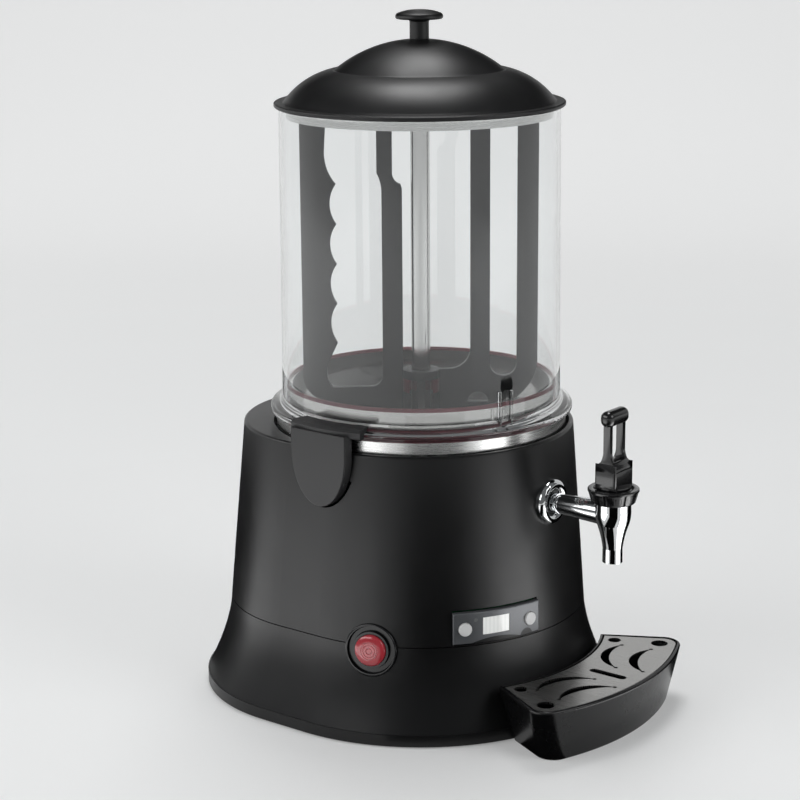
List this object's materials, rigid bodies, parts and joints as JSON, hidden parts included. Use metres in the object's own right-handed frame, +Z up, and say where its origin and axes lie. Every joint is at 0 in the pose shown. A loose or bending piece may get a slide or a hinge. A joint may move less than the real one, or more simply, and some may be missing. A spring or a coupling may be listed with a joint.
{
  "type": "hot chocolate dispenser",
  "caption": "Hot chocolate dispenser with a clear heated bowl, turning stirrer, latched bowl, lever tap and slide-out drip tray.",
  "frame": {"origin": "on the table, under the middle of the whole machine's box", "axes": "+Z up along the stirrer shaft, -Y towards the tap and the tray, +X to the right as seen from the front"},
  "size_m": [0.28, 0.3533, 0.5015],
  "materials": {
    "housing_abs": "satin moulded",
    "tray_abs": "satin moulded",
    "lid_polypropylene": "satin moulded",
    "latch_nylon": "satin moulded",
    "paddle_acetal": "satin moulded",
    "tap_plastic": "gloss moulded",
    "panel_gloss": "gloss printed",
    "display_clear": "clear over a pale display",
    "key_silver": "satin",
    "light_lens": "diffusing",
    "switch_black": "satin moulded",
    "switch_lens_red": "translucent",
    "bowl_polycarbonate": "clear moulded",
    "seal_silicone": "translucent",
    "liner_silicone": "matte",
    "foot_rubber": "matte",
    "pan_stainless": "brushed",
    "tube_stainless": "polished",
    "trim_polished": "polished",
    "tap_chrome": "polished",
    "grille_stainless": "brushed",
    "zinc_steel": "zinc plated",
    "board_laminate": "solder masked",
    "pipe_silicone": "translucent"
  },
  "bodies": {
    "base": {"bottom_plate": "zinc_steel", "bowl": "bowl_polycarbonate", "bowl_seal": "seal_silicone", "cable_gland": "latch_nylon", "centre_tube": "tube_stainless", "control_board": "board_laminate", "display_board": "board_laminate", "display_panel": "panel_gloss", "display_window": "display_clear", "foot_seal": "seal_silicone", "gear_motor": "zinc_steel", "heating_element": "tube_stainless", "latch_pin_left": "tube_stainless", "latch_pin_right": "tube_stainless", "lever_pin": "tube_stainless", "lower_skirt": "housing_abs", "motor_bracket": "zinc_steel", "outlet_pipe": "pipe_silicone", "outlet_union": "tap_chrome", "plate_screw_1": "zinc_steel", "plate_screw_2": "zinc_steel", "plate_screw_3": "zinc_steel", "plate_screw_4": "zinc_steel", "power_bezel": "switch_black", "power_switch": "switch_black", "rubber_foot_1": "foot_rubber", "rubber_foot_2": "foot_rubber", "rubber_foot_3": "foot_rubber", "rubber_foot_4": "foot_rubber", "status_light": "light_lens", "steel_pan": "pan_stainless", "tap_body": "tap_chrome", "tap_bonnet": "tap_plastic", "tap_collar": "tap_plastic", "tap_nut": "tap_chrome", "tap_rosette": "tap_chrome", "thermostat_probe": "tube_stainless", "trim_ring": "trim_polished", "upper_housing": "housing_abs", "water_jacket": "pan_stainless"},
    "stirrer": {"stirrer_paddle": "paddle_acetal", "hub_liner": "liner_silicone", "drive_shaft": "tube_stainless", "shaft_cap": "paddle_acetal"},
    "lid": {"lid_shell": "lid_polypropylene", "lid_ring": "trim_polished", "lid_knob": "lid_polypropylene", "knob_screw": "zinc_steel"},
    "tray": {"drip_tray": "tray_abs"},
    "grille": {"drip_grille": "grille_stainless"},
    "left_latch": {"latch_left": "latch_nylon"},
    "right_latch": {"latch_right": "latch_nylon"},
    "lever": {"tap_lever": "tap_plastic"},
    "plug": {"tap_plug": "tap_plastic"},
    "power_key": {"power_button": "switch_lens_red"},
    "minus_key": {"minus_button": "key_silver"},
    "plus_key": {"plus_button": "key_silver"}
  },
  "joints": [
    {"name": "stirrer_turn", "type": "hinge", "parent": "base", "child": "stirrer", "pos_m": [0, 0.01835, 0.3], "axis": [0, 0, 1], "continuous": true},
    {"name": "lid_lift", "type": "slide", "parent": "base", "child": "lid", "axis": [0, 0, 1], "range_m": [0, 0.1]},
    {"name": "tray_slide", "type": "slide", "parent": "base", "child": "tray", "axis": [0, -1, 0], "range_m": [0, 0.08]},
    {"name": "grille_lift", "type": "slide", "parent": "tray", "child": "grille", "axis": [0, 0, 1], "range_m": [0, 0.04]},
    {"name": "latch_left_tip", "type": "hinge", "parent": "base", "child": "left_latch", "pos_m": [-0.1152, 0.01835, 0.1825], "axis": [0, -1, 0], "range_deg": [0, 14]},
    {"name": "latch_right_tip", "type": "hinge", "parent": "base", "child": "right_latch", "pos_m": [0.1152, 0.01835, 0.1825], "axis": [0, 1, 0], "range_deg": [0, 14]},
    {"name": "tap_pull", "type": "hinge", "parent": "base", "child": "lever", "pos_m": [0, -0.14965, 0.1925], "axis": [1, 0, 0], "range_deg": [0, 45], "stiffness_Nm_per_rad": 0.06},
    {"name": "plug_rise", "type": "slide", "parent": "base", "child": "plug", "axis": [0, 0, 1], "range_m": [0, 0.0041]},
    {"name": "power_press", "type": "slide", "parent": "base", "child": "power_key", "axis": [0.9361, 0.3407, -0.0872], "range_m": [0, 0.0015], "stiffness_N_per_m": 500},
    {"name": "minus_press", "type": "slide", "parent": "base", "child": "minus_key", "axis": [0.6239, 0.7815, 0], "range_m": [0, 0.001], "stiffness_N_per_m": 500},
    {"name": "plus_press", "type": "slide", "parent": "base", "child": "plus_key", "axis": [0.247, 0.969, 0], "range_m": [0, 0.001], "stiffness_N_per_m": 500}
  ],
  "couplings": [
    {"joint": "plug_rise", "follows": "tap_pull", "m_per_rad": 0.00509}
  ]
}
